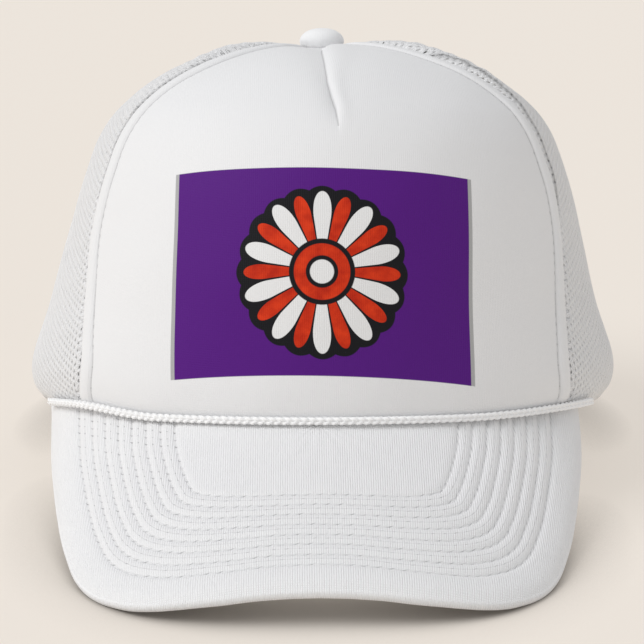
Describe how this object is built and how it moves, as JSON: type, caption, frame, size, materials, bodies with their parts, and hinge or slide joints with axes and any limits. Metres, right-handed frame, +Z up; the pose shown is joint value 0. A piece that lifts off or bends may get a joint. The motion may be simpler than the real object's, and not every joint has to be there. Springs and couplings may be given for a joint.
{
  "type": "trucker hat",
  "caption": "White trucker hat with a padded printed front panel, net sides and back, a curved peak, rope trim and a rear strap.",
  "frame": {"origin": "on the ground, under the middle of the hat's box, with the hat at rest on the corners of its peak and on its strap", "axes": "+Z up, -Y towards the front of the peak, +X to the right of someone who looks at the hat from the front"},
  "size_m": [0.1834, 0.266, 0.1303],
  "materials": {
    "white_cloth": "matt, finely ribbed woven cloth",
    "white_net": "fine knitted net",
    "white_tape": "matt woven tape",
    "white_cord": "braided cord",
    "white_plastic": "satin moulded plastic"
  },
  "bodies": {
    "root": {"front_panel": "white_cloth", "side_net_right": "white_net", "side_net_left": "white_net", "back_net_right": "white_net", "back_net_left": "white_net", "seam_tape_front_right": "white_tape", "seam_tape_front_left": "white_tape", "seam_tape_rear_right": "white_tape", "seam_tape_rear_left": "white_tape", "seam_tape_centre": "white_tape", "sweatband": "white_tape", "arch_binding": "white_tape", "snap_strap": "white_plastic", "button": "white_cloth", "peak": "white_cloth", "rope": "white_cord"}
  },
  "joints": []
}
